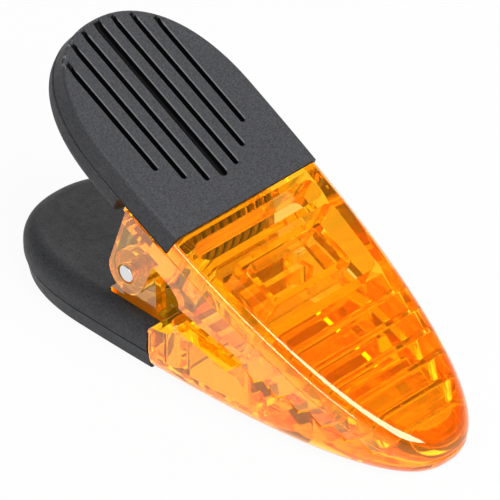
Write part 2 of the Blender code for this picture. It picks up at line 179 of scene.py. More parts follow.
def colour(name, description, default):
    """A colour that a user can change."""
    return FloatVectorProperty(name=name, description=description, default=default, size=3,
                               min=0.0, max=1.0, subtype="COLOR")


class LeverSizes(PropertyGroup):
    """Plan, outer edge and pivot that both levers share."""

    handle_length: length("Handle length", "From the seam to the back of the handle", SEAM_X - GRIP_LOW.x)
    nose_length: length("Nose length", "From the seam to the tip of the nose", 0.058)
    width: length("Width", "Greatest width of a lever", GRIP_HIGH.y - GRIP_LOW.y)
    widest: length("Widest place", "How far behind the seam the lever is widest", 0.0182)
    back_roundness: amount("Back roundness", "Squareness of the handle's outline, 2 for an ellipse", 2.26)
    nose_roundness: amount("Nose roundness", "Squareness of the nose's outline, 2 for an ellipse", 2.5)
    pin_behind_seam: length("Pin behind seam", "From the seam back to the pin's axis", SEAM_X - PIVOT.x)
    pin_depth: length("Pin depth", "From the outer face to the pin's axis", PIVOT.z)
    wedge: turn("Wedge", "Angle between the closed levers", 27.0)
    clearance: length("Clearance", "Gap between pieces that fit together", 0.0003)

    def half_width(self, along, inset=0.0):
        """Half the lever's width at a station, for a plan outline drawn in by inset."""
        if along < -self.widest:
            reach = self.handle_length - self.widest - inset
            power = self.back_roundness
        else:
            reach = self.nose_length + self.widest - inset
            power = self.nose_roundness
        share = min(1.0, abs(along + self.widest) / reach)
        return (self.width / 2 - inset) * (1.0 - share ** power) ** (1.0 / power)

    def back_station(self, across, inset):
        """Station where the handle's back outline, drawn in by inset, lies this far across."""
        reach = self.handle_length - self.widest - inset
        share = abs(across) / (self.width / 2 - inset)
        return -self.widest - reach * (1 - share ** self.back_roundness) ** (1 / self.back_roundness)

    def from_pin(self, along, across, depth):
        """A point of the lever's plan, measured from the pin."""
        return Vector((along + self.pin_behind_seam, across, depth - self.pin_depth))

    def parting_point(self, distance, below, side):
        """Station and depth of a point on the parting line between the jaws.

        distance runs from the pin along the line that halves the wedge, below is how far the point
        lies towards the lower lever, and side is 1 on the upper lever and -1 on the lower.
        """
        half = self.wedge / 2
        off = side * below
        along = -self.pin_behind_seam + distance * cos(half) + off * sin(half)
        return along, self.pin_depth - distance * sin(half) + off * cos(half)


class JawSizes(PropertyGroup):
    """Walls, hollow, teeth and ears of a jaw."""

    edge_width: length("Edge width", "Width of the cap's rounded edge, seen from above", 0.0026)
    upper_swell: length("Upper swell", "How much wider the upper edge gets towards the nose", 0.0024)
    edge_depth: length("Edge depth", "Depth of the cap's rounded edge", 0.0036)
    cap_inset: length("Cap inset", "How far the cap stands in over the skirt", 0.00015)
    cap_depth: length("Cap depth", "Depth of the line between cap and skirt", 0.0041)
    cap_lip: length("Cap lip", "Rounding of the skirt's upper edge", 0.0001)
    draft: turn("Draft", "Slope of the skirt", 2.2)
    plate: length("Plate", "Thickness of the outer plate", 0.0024)
    cheek_wall: length("Cheek wall", "From the outline to the hollow's sides", 0.0034)
    seam_wall: length("Seam wall", "Thickness of the wall beside the grip", 0.0017)
    rib: length("Rib", "Thickness of the cross rib and of the box frame", 0.0014)
    cross_rib: length("Cross rib", "From the seam to the cross rib", 0.006)
    frame_back: length("Frame back", "From the seam to the back of the box frame", 0.0087)
    frame_front: length("Frame front", "From the seam to the front of the box frame", 0.0193)
    frame_half_width: length("Frame half width", "From the middle to the side of the box frame", 0.0094)
    frame_depth: length("Frame depth", "How deep the box frame stands", 0.0086)
    pocket_round: length("Pocket round", "Rounding of the pockets' corners", 0.0018)
    arch_flat_end: length("Arch flat end", "Where the arch starts to fall", 0.0016)
    arch_length: length("Arch length", "Length of the arch's fall", 0.0052)
    arch_height: length("Arch height", "Fall from the arch's crown to the cheek's corner", 0.0029)
    upper_setback: length("Upper setback", "From the parting line up to the upper cheek", 0.002)
    lower_setback: length("Lower setback", "From the parting line down to the lower cheek", 0.0031)
    teeth: whole("Teeth", "Number of teeth on a jaw", 6)
    first_tip: length("First tip", "From the pin to the first tooth's tip", 0.03175)
    tooth_pitch: length("Tooth pitch", "From tip to tip", 0.0049)
    steep_flank: length("Steep flank", "Length of a tooth's steep side", 0.00175)
    tooth_height: length("Tooth height", "From valley to tip", 0.0019)
    tooth_lead: length("Tooth lead", "From the cheek's edge to the first valley", 0.001)
    tooth_ease: length("Tooth ease", "Rounding of the teeth and of the cheeks' corners", 0.00025)
    parting_gap: length("Parting gap", "Gap between the closed teeth", 0.0004)
    shelf_length: length("Shelf length", "How far the shelf reaches under the grip", 0.013)
    shelf_top: length("Shelf top", "Depth of the shelf's face under the pad", 0.0044)
    shelf_depth: length("Shelf depth", "Depth of the shelf's inner face", 0.0099)
    upper_ear_radius: length("Upper ear radius", "Round end of the outer ears", 0.00425)
    upper_ear_slant: length("Upper ear slant", "How much wider the outer ears get towards the pad", 0.0012)
    upper_ear_wall: length("Upper ear wall", "Thickness of the outer ears", 0.0028)
    lower_ear_radius: length("Lower ear radius", "Round end of the inner ears", 0.0042)
    lower_ear_face: length("Lower ear face", "From the middle to the inner ears' faces", INNER_EAR_FACE)
    lower_ear_wall: length("Lower ear wall", "Thickness of the inner ears", 0.0024)
    lower_corner: length("Lower corner", "Rounding of the lower cheek beside the grip", 0.0014)
    boss_radius: length("Boss radius", "Radius of the bosses inside the spring", 0.0039)
    boss_length: length("Boss length", "How far the bosses reach into the spring", 0.0024)
    hole_radius: length("Hole radius", "Radius of the pin's holes", 0.002)
    tongue_inset: length("Tongue inset", "From the handle's outline to the tongue", 0.006)
    tongue_top: length("Tongue top", "Depth of the tongue's outer face", 0.0047)
    tongue_bottom: length("Tongue bottom", "Depth of the tongue's inner face", 0.0075)


class GripSizes(PropertyGroup):
    """Pad, pillow and grooves of a grip."""

    rim_width: length("Rim width", "Width of the pad's rounded rim, seen from above", 0.0006)
    rim_depth: length("Rim depth", "Depth of the pad's rounded rim", 0.0007)
    rim_inset: length("Rim inset", "How far the rim stands in over the pillow", 0.0008)
    pad_inset: length("Pad inset", "How far the pad's lower edge stands in over the pillow", 0.0002)
    pad_thickness: length("Pad thickness", "Thickness of the pad", 0.0041)
    pad_line: length("Pad line", "Width and depth of the line between pad and pillow", 0.0002)
    dish_width: length("Dish width", "Width of the slope inside the rim", 0.0026)
    dish_depth: length("Dish depth", "How deep the pad is dished", 0.00012)
    pillow_depth: length("Pillow depth", "Depth of the pillow's inner face", GRIP_HIGH.z)
    pillow_round: length("Pillow round", "Rounding of the pillow's inner edge", 0.0036)
    groove_pitch: length("Groove pitch", "From groove to groove", 0.0035)
    groove_width: length("Groove width", "Width of a groove", 0.001)
    centre_groove_width: length("Centre groove width", "Width of the middle groove", 0.0016)
    groove_depth: length("Groove depth", "Depth of the grooves", 0.0015)
    groove_lip: length("Groove lip", "Rounding of the grooves' edges", 0.0003)
    groove_rise: amount("Groove rise", "Share of its depth that a groove loses up to the rim", 0.85)
    grooves_each_side: whole("Grooves each side", "Grooves on either side of the middle one", 3)
    groove_start: length("Groove start", "From the seam to the middle groove", 0.0058)
    groove_arc_drop: length("Groove arc drop", "How much later the outermost grooves start", 0.007)


class SpringSizes(PropertyGroup):
    """Wire and coil of the torsion spring, and its pin."""

    wire: length("Wire", "Diameter of the wire", WIRE)
    coil_diameter: length("Coil diameter", "Outer diameter of the coil", 0.012)
    coil_span: length("Coil span", "Length of the coil between its wire's middles", COIL_SPAN)
    coil_turns: whole("Coil turns", "Whole turns of the coil", 10)
    leg: length("Leg", "Length of the straight ends", 0.0086)
    points_per_turn: whole("Points per turn", "Fineness of the coil", 40)
    pin_radius: length("Pin radius", "Radius of the pivot pin", (PIN_HIGH.z - PIN_LOW.z) / 2)
    pin_chamfer: length("Pin chamfer", "Rounding of the pin's ends", 0.0003)


class Finishes(PropertyGroup):
    """Colours and textures of the plastic, the grips and the steel."""

    orange: colour("Orange", "Tint of the clear plastic's surface", (1.0, 0.65, 0.18))
    # Painted glow: an emission colour and strength that light the plastic from within, without any lamp, in
    # place of light scattered inside it
    painted_glow_colour: colour("Dye", "Colour that the plastic's bright dye sends out", (1.0, 0.42, 0.0))
    painted_glow_strength: amount("Dye glow", "How much light the bright dye sends out", 0.055)
    absorption: colour("Absorption", "What the clear plastic lets through", (1.0, 0.91, 0.0))
    density: amount("Density", "How strongly the clear plastic tints light, per metre", 200.0)
    sheen: colour("Sheen", "Tint of what the clear plastic mirrors", (1.0, 0.6, 0.2))
    refraction: amount("Refraction", "Refractive index of the clear plastic", 1.5)
    gloss: amount("Gloss", "Strength of the polish over the clear plastic", 0.8)
    black: colour("Black", "Grip colour in the hollows of its grain", (0.018, 0.018, 0.019))
    worn_black: colour("Worn black", "Grip colour on the tops of its grain", (0.058, 0.059, 0.066))
    # Painted shade: near-black colour that stands in for the shade inside the grooves
    groove_painted_shade: colour("Groove black", "Grip colour inside the grooves", (0.004, 0.004, 0.004))
    # Painted highlight: a lighter colour on the grooves' lips that stands in for the light they catch
    lip_painted_highlight: colour("Worn lip", "Grip colour on the grooves' lips", (0.14, 0.145, 0.152))
    steel: colour("Steel", "Pin", (0.74, 0.74, 0.75))
    wire_steel: colour("Wire steel", "Spring", (0.28, 0.28, 0.29))
    grip_grain: length("Grip grain", "Size of the grip's grain", 0.00035)


class StageSettings(PropertyGroup):
    """Camera and light."""

    azimuth: turn("Azimuth", "Camera's turn round the clamp", 47.14)
    elevation: turn("Elevation", "Camera's height above the horizon", 36.05)
    roll: turn("Roll", "Camera's tilt to one side", -1.5)
    aim: FloatVectorProperty(name="Aim", description="Point in the middle of the picture", size=3,
                             default=(0.00453, -0.00315, 0.02459), precision=5, subtype="XYZ",
                             unit="LENGTH")
    distance: length("Distance", "From the aim to the camera", 1.133)
    lens: FloatProperty(name="Lens", description="Focal length in millimetres", default=467.1)
    ambient: amount("Ambient", "Light from all round", 0.12)
    ceiling: amount("Ceiling", "Brightness of the ceiling that is mirrored and shows through", 0.06)
    horizon: amount("Horizon", "Brightness of the horizon that is mirrored and shows through", 0.6)
    floor_shadow: amount("Floor shadow", "How much of the clamp's shadow the floor keeps", 0.05)


class ClampSettings(PropertyGroup):
    """Everything that a user would change."""

    lever: PointerProperty(type=LeverSizes)
    jaw: PointerProperty(type=JawSizes)
    grip: PointerProperty(type=GripSizes)
    spring: PointerProperty(type=SpringSizes)
    finish: PointerProperty(type=Finishes)
    stage: PointerProperty(type=StageSettings)


# Outlines and solids


def quarter_steps(steps=EDGE_STEPS):
    """Angles through a quarter turn."""
    return [pi / 2 * step / steps for step in range(steps + 1)]


def quarter_round(steps=EDGE_STEPS):
    """Points of a quarter round: a share that falls from 1 to 0, and one that rises from 0 to 1."""
    return [(1 - sin(angle), 1 - cos(angle)) for angle in quarter_steps(steps)]


def lever_ring(lever, start, end, inset, depth, swell=0.0):
    """Points round one end of a lever, from its straight start on one side to the other.

    swell is how much further in than inset the ring lies at the tip.
    """
    tip = end - copysign(inset + swell, end)
    side = []
    for step in range(OUTLINE_STEPS):
        share = step / OUTLINE_STEPS
        along = start + (tip - start) * sin(pi / 2 * share)
        side.append((along, lever.half_width(along, inset + swell * share ** 2)))
    ring = side + [(tip, 0.0)] + [(along, -width) for along, width in reversed(side)]
    return [lever.from_pin(along, across, depth) for along, across in ring]


def eased(outline, trim):
    """A closed outline whose sharp corners are cut back by trim and joined by short curves."""
    points = []
    for index, corner in enumerate(outline):
        here = Vector(corner)
        before = Vector(outline[index - 1]) - here
        after = Vector(outline[(index + 1) % len(outline)]) - here
        if before.angle(after) > SMOOTH_TURN:
            points.append(corner)
            continue
        start = here + before.normalized() * min(trim, before.length * EASE_LIMIT)
        end = here + after.normalized() * min(trim, after.length * EASE_LIMIT)
        for step in range(EASE_STEPS + 1):
            share = step / EASE_STEPS
            point = start * (1 - share) ** 2 + here * 2 * share * (1 - share) + end * share ** 2
            points.append(tuple(point))
    return points


def placed(name, data):
    """A new object in the scene."""
    made = bpy.data.objects.new(name, data)
    bpy.context.scene.collection.objects.link(made)
    return made


def baked(thing):
    """A new mesh of an object as its modifiers or its bevel leave it."""
    graph = bpy.context.evaluated_depsgraph_get()
    return bpy.data.meshes.new_from_object(thing.evaluated_get(graph))


def solid(name, rings, flat_front=False):
    """A closed mesh lofted through rings of equally many points, with flat end caps.

    With flat_front, the first and last points of all rings lie in one plane, closed by one face.
    """
    shell = bmesh.new()
    loops = [[shell.verts.new(point) for point in ring] for ring in rings]
    count = len(rings[0])
    for low, high in zip(loops, loops[1:]):
        for index in range(count - 1 if flat_front else count):
            after = (index + 1) % count
            shell.faces.new((low[index], low[after], high[after], high[index]))
    if flat_front:
        shell.faces.new([loop[0] for loop in loops] + [loop[-1] for loop in reversed(loops)])
    shell.faces.new(reversed(loops[0]))
    shell.faces.new(loops[-1])
    if shell.calc_volume(signed=True) < 0:
        bmesh.ops.reverse_faces(shell, faces=shell.faces)
    mesh = bpy.data.meshes.new(name)
    shell.to_mesh(mesh)
    shell.free()
    return placed(name, mesh)


def side_prism(lever, name, profile, left, right):
    """A side profile of stations and depths, extruded across the lever."""
    rings = []
    for across in (left, right):
        rings.append([lever.from_pin(along, across, depth) for along, depth in profile])
    return solid(name, rings)


def plan_prism(lever, name, outline, top, bottom):
    """A plan outline extruded from one depth to another."""
    rings = []
    for depth in (top, bottom):
        rings.append([lever.from_pin(along, across, depth) for along, across in outline])
    return solid(name, rings)


def rectangle(back, front, half):
    """Plan outline of a straight-sided block."""
    return [(back, -half), (front, -half), (front, half), (back, half)]


def pocket_outline(lever, jaw, back, front, steps):
    """Plan outline of a pocket between two stations, along the cheeks and with round corners."""
    corner = jaw.pocket_round
    ends = [(corner * rise, corner * fall) for fall, rise in quarter_round()]
    straight = front - back - 2 * corner
    stations = [(back + forward, drawn_in) for forward, drawn_in in ends]
    for step in range(1, steps):
        stations.append((back + corner + straight * step / steps, 0.0))
    stations += [(front - forward, drawn_in) for forward, drawn_in in reversed(ends)]
    side = [(along, lever.half_width(along, jaw.cheek_wall) - drawn_in) for along, drawn_in in stations]
    return [(along, -across) for along, across in side] + list(reversed(side))


def turned_bar(name, profile):
    """A round bar on the pin's axis, from places across and radii."""
    rings = []
    for across, radius in profile:
        ring = []
        for side in range(ROUND_SIDES):
            angle = 2 * pi * side / ROUND_SIDES
            ring.append(Vector((radius * cos(angle), across, radius * sin(angle))))
        rings.append(ring)
    return solid(name, rings)


def combine(target, tool, operation):
    """Add a tool to a piece, cut it out, or keep what both share, and delete the tool."""
    step = target.modifiers.new(operation, "BOOLEAN")
    step.operation = operation
    step.solver = "EXACT"
    step.object = tool
    result = baked(target)
    target.modifiers.clear()
    target.data = result
    bpy.data.objects.remove(tool)


def add(target, tool):
    """Join a tool to a piece."""
    combine(target, tool, "UNION")


def cut(target, tool):
    """Cut a tool out of a piece."""
    combine(target, tool, "DIFFERENCE")


def seat(piece, node, body, slot, place, *materials):
    """Put a finished piece where its node is, on its body, in its materials."""
    piece.data.transform(place)
    for material in materials:
        piece.data.materials.append(material)
    piece.data.shade_smooth()
    piece.data.set_sharp_from_angle(angle=SHARP_ANGLE)
    even = piece.modifiers.new("even_normals", "WEIGHTED_NORMAL")
    even.keep_sharp = True
    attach(piece, body)
    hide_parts(node)


def lower_place():
    """Where the lower lever's pin-centred plan stands in the frame."""
    return Matrix.Translation(PIVOT)


def upper_place(lever):
    """Where the upper lever's pin-centred plan stands: turned over and tipped about the pin."""
    return Matrix.Translation(PIVOT) @ Euler((pi, lever.wedge, 0.0)).to_matrix().to_4x4()


# Jaws


def tooth_line(lever, jaw):
    """Distances along the parting line and offsets below it, from the first valley to the nose."""
    half = jaw.tooth_height / 2
    line = [(jaw.first_tip - jaw.tooth_pitch + jaw.steep_flank, -half)]
    for tooth in range(jaw.teeth):
        tip = jaw.first_tip + jaw.tooth_pitch * tooth
        line.append((tip, half))
        line.append((tip + jaw.steep_flank, -half))
    line[-1] = (tip + jaw.steep_flank / 2, 0.0)
    nose_reach = (lever.nose_length + lever.pin_behind_seam) / cos(lever.wedge / 2)
    line.append((nose_reach + CUT_MARGIN, 0.0))
    return line


def arch_line(jaw):
    """Stations and depths of the cheek's arch, from its flat crown down to the cheek's corner."""
    line = []
    for angle in quarter_steps(ARCH_STEPS):
        depth = jaw.shelf_depth + jaw.arch_height * (1 - cos(angle))
        line.append((jaw.arch_flat_end + jaw.arch_length * sin(angle), depth))
    return line


def bite_line(lever, jaw, side, setback):
    """Stations and depths from the cheek's corner along its edge and the teeth to past the nose."""
    teeth = [(distance, below - side * jaw.parting_gap / 2) for distance, below in tooth_line(lever, jaw)]
    cheek_front = teeth[0][0] - jaw.tooth_lead
    if side < 0:
        cheek_front -= jaw.steep_flank
    edge = [(cheek_front, -side * setback)] + teeth
    return [lever.parting_point(distance, below, side) for distance, below in edge]


def ear_line(lever, radius):
    """Stations and depths round an ear's end, from its back edge to its front edge."""
    pin = -lever.pin_behind_seam
    line = []
    for step in range(ROUND_SIDES // 2 + 1):
        angle = pi - 2 * pi * step / ROUND_SIDES
        line.append((pin + radius * cos(angle), lever.pin_depth + radius * sin(angle)))
    return line


def corner_line(jaw):
    """Stations and depths of the round corner beside the lower grip."""
    line = []
    for fall, rise in quarter_round():
        line.append((SEAM_GAP + jaw.lower_corner * rise, jaw.shelf_depth - jaw.lower_corner * fall))
    return line


def jaw_body(lever, jaw, name, start, inner_line, swell):
    """The lever's skin from a station to the nose, kept between its outer face and an inner line.

    swell is how much wider the rounded edge gets towards the nose.
    """
    nose = lever.nose_length
    loops = []
    for fall, rise in quarter_round():
        inset = jaw.cap_inset + jaw.edge_width * fall
        loops.append(lever_ring(lever, start, nose, inset, jaw.edge_depth * rise, swell * fall))
    loops.append(lever_ring(lever, start, nose, jaw.cap_inset, jaw.cap_depth))
    for fall, rise in quarter_round(EASE_STEPS):
        depth = jaw.cap_depth + jaw.cap_lip * rise
        loops.append(lever_ring(lever, start, nose, jaw.cap_lip * fall, depth))
    drop = lever.pin_depth * 2
    loops.append(lever_ring(lever, start, nose, drop * tan(jaw.draft), jaw.cap_depth + jaw.cap_lip + drop))
    body = solid(name, loops, flat_front=True)
    end = inner_line[-1][0]
    outline = [(SEAM_GAP, -CUT_MARGIN)] + eased(inner_line, jaw.tooth_ease) + [(end, -CUT_MARGIN)]
    combine(body, side_prism(lever, "profile", outline, -lever.width, lever.width), "INTERSECT")
    return body


def hollow_out(lever, jaw, body):
    """Cut the hollow behind the teeth, leaving the plate, the cheeks, a cross rib and a box frame."""
    deep = lever.pin_depth + CUT_MARGIN
    front_end = lever.parting_point(*tooth_line(lever, jaw)[0], 1)[0]
    outline = pocket_outline(lever, jaw, jaw.cross_rib + jaw.rib, front_end, OUTLINE_STEPS // 4)
    room = plan_prism(lever, "front_room", outline, jaw.plate, deep)
    outer = rectangle(jaw.frame_back, jaw.frame_front, jaw.frame_half_width)
    box_frame = plan_prism(lever, "box_frame", eased(outer, jaw.rib / 2), 0.0, jaw.frame_depth)
    inner = rectangle(jaw.frame_back + jaw.rib, jaw.frame_front - jaw.rib, jaw.frame_half_width - jaw.rib)
    cut(box_frame, plan_prism(lever, "window", eased(inner, jaw.rib / 2), jaw.plate, deep))
    cut(room, box_frame)
    cut(body, room)
    outline = pocket_outline(lever, jaw, SEAM_GAP + jaw.seam_wall, jaw.cross_rib, 1)
    cut(body, plan_prism(lever, "back_room", outline, jaw.plate, deep))
    relief = rectangle(jaw.cross_rib - jaw.rib, jaw.cross_rib + 2 * jaw.rib, jaw.lower_ear_face)
    cut(body, plan_prism(lever, "rib_relief", relief, jaw.shelf_depth, deep))


def shelf(lever, jaw, half):
    """The block behind the seam that stands under the grip and carries the spring's leg."""
    outline = rectangle(-jaw.shelf_length, SEAM_GAP + jaw.seam_wall / 2, half)
    return plan_prism(lever, "shelf", outline, jaw.shelf_top, jaw.shelf_depth)


def tongue(lever, jaw):
    """The flat tongue that the grip is moulded over."""
    start = -jaw.shelf_length + CUT_MARGIN
    rings = []
    for depth in (jaw.tongue_top, jaw.tongue_bottom):
        rings.append(lever_ring(lever, start, -lever.handle_length, jaw.tongue_inset, depth))
    return solid("tongue", rings, flat_front=True)


def pin_hole(lever, jaw):
    """The cutter for the pin's hole."""
    return turned_bar("pin_hole", ((-lever.width, jaw.hole_radius), (lever.width, jaw.hole_radius)))


def make_upper_jaw(lever, jaw):
    """The jaw whose side walls run back past the seam and down as the outer ears."""
    round_end = ear_line(lever, jaw.upper_ear_radius)
    ear_top = round_end[0][0] - jaw.upper_ear_slant
    ear = [(SEAM_GAP, jaw.shelf_top), (ear_top, jaw.shelf_top)] + round_end
    crown = [(round_end[-1][0], jaw.shelf_depth)] + arch_line(jaw)
    inner_line = ear + crown + bite_line(lever, jaw, 1, jaw.upper_setback)
    piece = jaw_body(lever, jaw, "clear_upper_jaw", -jaw.shelf_length, inner_line, jaw.upper_swell)
    inner = PIN_HIGH.y - jaw.upper_ear_wall
    between = rectangle(-jaw.shelf_length, SEAM_GAP, inner)
    cut(piece, plan_prism(lever, "between_ears", between, jaw.shelf_depth, lever.pin_depth * 2))
    add(piece, shelf(lever, jaw, inner))
    add(piece, tongue(lever, jaw))
    hollow_out(lever, jaw, piece)
    cut(piece, pin_hole(lever, jaw))
    return piece


def make_lower_jaw(lever, jaw):
    """The jaw with the inner ears, which stand on a shelf of their width."""
    inner_line = corner_line(jaw) + arch_line(jaw) + bite_line(lever, jaw, -1, jaw.lower_setback)
    piece = jaw_body(lever, jaw, "clear_lower_jaw", SEAM_GAP, inner_line, 0.0)
    add(piece, shelf(lever, jaw, jaw.lower_ear_face))
    add(piece, tongue(lever, jaw))
    hollow_out(lever, jaw, piece)
    root = jaw.shelf_depth - jaw.plate / 2
    round_end = ear_line(lever, jaw.lower_ear_radius)
    ear = [(round_end[0][0], root)] + round_end + [(round_end[-1][0], root)]
    for hand in (-1, 1):
        outer = hand * jaw.lower_ear_face
        inner = outer - hand * jaw.lower_ear_wall
        add(piece, side_prism(lever, "ear", ear, inner, outer))
        boss = (((inner + outer) / 2, jaw.boss_radius), (inner - hand * jaw.boss_length, jaw.boss_radius))
        add(piece, turned_bar("boss", boss))
    cut(piece, pin_hole(lever, jaw))
    return piece


# Grips


def dish(grip, share):
    """Depth of the pad's dish, from its floor at 0 to the rim at 1."""
    return grip.dish_depth * cos(pi / 2 * share) ** 2


def grip_rings(grip):
    """Inset and depth of each ring of a grip: dished pad, rim, side, fine line and pillow."""
    rings = []
    for angle in quarter_steps():
        share = 2 * angle / pi
        rings.append((grip.rim_inset + grip.rim_width + grip.dish_width * (1 - share), dish(grip, share)))
    for fall, rise in quarter_round()[1:]:
        rings.append((grip.rim_inset + grip.rim_width * fall, grip.rim_depth * rise))
    rings.append((grip.pad_inset, grip.pad_thickness - grip.pad_line * 2))
    rings.append((grip.pad_inset + grip.pad_line, grip.pad_thickness - grip.pad_line))
    for fall, rise in quarter_round(EASE_STEPS):
        rings.append((grip.pad_line * fall, grip.pad_thickness + grip.pad_line * rise))
    for fall, rise in quarter_round():
        rings.append((grip.pillow_round * rise, grip.pillow_depth - grip.pillow_round * fall))
    return rings


def groove_section(grip, half):
    """Half of a groove's section: distances aside and below the pad, from above it to the middle."""
    lip = grip.groove_lip
    section = [(half + lip, -CUT_MARGIN)]
    for fall, rise in quarter_round(EASE_STEPS)[1:]:
        section.append((half + lip * fall, lip * rise))
    for fall, rise in quarter_round(EASE_STEPS):
        section.append((half - lip * rise, grip.groove_depth - lip * fall))
    return section


def groove(lever, grip, across, start, width):
    """A cutter along the pad, with a round front end, that rises out over the rim at the back."""
    half = width / 2
    section = groove_section(grip, half)
    section += [(-aside, below) for aside, below in reversed(section)]
    stations = []
    for angle in quarter_steps()[1:]:
        stations.append((-start - (half + grip.groove_lip) * (1 - cos(angle)), sin(angle), grip.dish_depth))
    for angle in quarter_steps():
        share = sin(angle)
        inset = grip.rim_inset + grip.rim_width + grip.dish_width * (1 - share)
        rise = grip.groove_rise * grip.groove_depth * share ** GROOVE_FADE
        stations.append((lever.back_station(across, inset), 1.0, dish(grip, share) - rise))
    stations.append((lever.back_station(across, 0.0), 1.0, -grip.groove_depth))
    rings = []
    for along, spread, top in stations:
        ring = [(across + aside * spread, top + below) for aside, below in section]
        rings.append([lever.from_pin(along, place, depth) for place, depth in ring])
    return solid("groove", rings)


def groove_places(grip):
    """Place across, start and width of each groove."""
    outermost = grip.groove_pitch * grip.grooves_each_side
    places = []
    for count in range(-grip.grooves_each_side, grip.grooves_each_side + 1):
        across = grip.groove_pitch * count
        start = grip.groove_start + grip.groove_arc_drop * (across / outermost) ** 2
        places.append((across, start, grip.groove_width if count else grip.centre_groove_width))
    return places


def paint_groove_shade_and_highlight(lever, grip, piece):
    """Give the grooves' walls and floors the piece's second material, a painted shade, and their lips the
    third, a painted highlight.
    """
    floor = grip.dish_depth + grip.groove_depth + grip.groove_lip
    for face in piece.data.polygons:
        depth = face.center.z + lever.pin_depth
        along = face.center.x - lever.pin_behind_seam
        for across, start, width in groove_places(grip):
            aside = abs(face.center.y - across) - width / 2
            if along > -start or depth > floor or aside > grip.groove_lip:
                continue
            upright = abs(face.normal.y) > WALL_SLOPE and depth > grip.groove_lip
            deep = depth > grip.dish_depth + grip.groove_lip
            if aside < grip.groove_lip * WALL_REACH and (upright or deep):
                # Painted shade on the grooves' walls and floors
                face.material_index = PAINTED_SHADE_SLOT
            # Painted highlight on the grooves' lips
            elif aside > 0 and abs(face.normal.y) > LIP_SLOPE:
                face.material_index = PAINTED_HIGHLIGHT_SLOT


def make_grip(lever, jaw, grip, name, notch_half_width):
    """One grip: a grooved pad over a pillow, notched for the shelf and hollow for the tongue."""
    loops = []
    for inset, depth in grip_rings(grip):
        loops.append(lever_ring(lever, -SEAM_GAP, -lever.handle_length, inset, depth))
    piece = solid(name, loops, flat_front=True)
    notch = rectangle(-jaw.shelf_length - lever.clearance, CUT_MARGIN, notch_half_width)
    cut(piece, plan_prism(lever, "notch", notch, grip.pad_thickness, grip.pillow_depth + CUT_MARGIN))
    rings = []
    for depth in (jaw.tongue_top - lever.clearance, jaw.tongue_bottom + lever.clearance):
        rings.append(lever_ring(lever, -jaw.shelf_length + CUT_MARGIN, -lever.handle_length,
                                jaw.tongue_inset - lever.clearance, depth))
    cut(piece, solid("socket", rings, flat_front=True))
    for across, start, width in groove_places(grip):
        cut(piece, groove(lever, grip, across, start, width))
    return piece


# Pin and spring


def make_pin(spring):
    """The pivot pin with rounded ends."""
    profile = []
    for hand in (-1, 1):
        end = []
        for fall, rise in quarter_round(EASE_STEPS):
            across = PIN_HIGH.y - spring.pin_chamfer * fall
            end.append((hand * across, spring.pin_radius - spring.pin_chamfer * rise))
        profile += reversed(end) if hand < 0 else end
    return turned_bar("steel_pin", profile)


def spring_line(lever, jaw, spring):
    """Middle line of the wire, measured from the pin: each leg slopes from the coil to its shelf."""
    radius = (spring.coil_diameter - spring.wire) / 2
    reach = lever.pin_depth - jaw.shelf_depth - lever.clearance - spring.wire / 2
    slope = asin(reach / hypot(radius, spring.leg)) - atan2(radius, spring.leg)
    first = slope - pi / 2
    last = pi / 2 - slope - lever.wedge + 2 * pi * spring.coil_turns
    steps = ceil(spring.points_per_turn * (last - first) / (2 * pi))
    coil = []
    for step in range(steps + 1):
        share = step / steps
        angle = first + (last - first) * share
        coil.append(Vector((radius * cos(angle), spring.coil_span * (share - 0.5), radius * sin(angle))))
    lower_leg = Vector((sin(first), 0.0, -cos(first))) * spring.leg
    upper_leg = Vector((-sin(last), 0.0, cos(last))) * spring.leg
    return [coil[0] + lower_leg] + coil + [coil[-1] + upper_leg]


def make_spring(lever, jaw, spring):
    """The torsion spring as a mesh tube along its middle line."""
    curve = bpy.data.curves.new("spring_wire", "CURVE")
    curve.dimensions = "3D"
    curve.bevel_depth = spring.wire / 2
    curve.bevel_resolution = EASE_STEPS
    curve.use_fill_caps = True
    line = spring_line(lever, jaw, spring)
    spline = curve.splines.new("POLY")
    spline.points.add(len(line) - 1)
    for slot, point in zip(spline.points, line):
        slot.co = (*point, 1.0)
    guide = placed("spring_wire", curve)
    mesh = baked(guide)
    bpy.data.objects.remove(guide)
    return placed("coil_spring", mesh)


# Materials


def fill(made, **inputs):
    """Set values on a node's named sockets."""
    for name, value in inputs.items():
        made.inputs[name.replace("_", " ")].default_value = value


def node(tree, kind, place, **inputs):
    """A new node with values set on its named sockets."""
    made = tree.nodes.new(kind)
    made.location = place
    fill(made, **inputs)
    return made


def link(source, output, target, socket):
    """Join a node's output to another node's socket."""
    source.id_data.links.new(source.outputs[output], target.inputs[socket])


def opaque(tone):
    """A colour with full alpha, as sockets take it."""
    return (*tone, 1.0)


